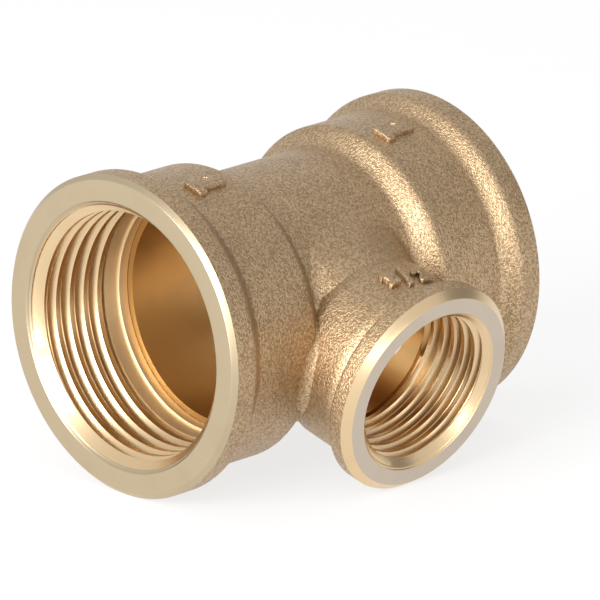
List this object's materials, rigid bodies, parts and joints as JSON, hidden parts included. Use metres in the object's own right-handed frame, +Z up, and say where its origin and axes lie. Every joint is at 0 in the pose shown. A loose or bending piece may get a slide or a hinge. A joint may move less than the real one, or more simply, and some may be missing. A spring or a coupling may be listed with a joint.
{
  "type": "reducing tee fitting",
  "caption": "Cast brass reducing tee: a straight run with a smaller branch square to it, every end a collared socket with a female parallel pipe thread.",
  "frame": {"origin": "where the centre lines of the run and of the branch cross", "axes": "+X along the run towards the right-hand port; +Z up as the tee lies on a table on both run collars and on the rim of its branch; the branch points to -Y and dips 15.34 degrees"},
  "size_m": [0.053, 0.0503, 0.0406],
  "materials": {
    "cast_brass": "sand-cast and shot-blasted, fine even grain, satin",
    "turned_brass": "lathe-turned, fine concentric tool marks, bright",
    "bored_brass": "bored, smooth and darker"
  },
  "bodies": {
    "root": {"run_barrel": "cast_brass", "left_socket": "cast_brass", "right_socket": "cast_brass", "left_collar": "cast_brass", "right_collar": "cast_brass", "left_end_face": "turned_brass", "right_end_face": "turned_brass", "left_thread": "turned_brass", "right_thread": "turned_brass", "left_pipe_stop": "bored_brass", "right_pipe_stop": "bored_brass", "branch_neck": "cast_brass", "branch_fillet": "cast_brass", "branch_collar": "cast_brass", "branch_end_face": "turned_brass", "branch_thread": "turned_brass", "left_size_mark": "cast_brass", "right_size_mark": "cast_brass", "branch_size_mark": "cast_brass"}
  },
  "joints": []
}
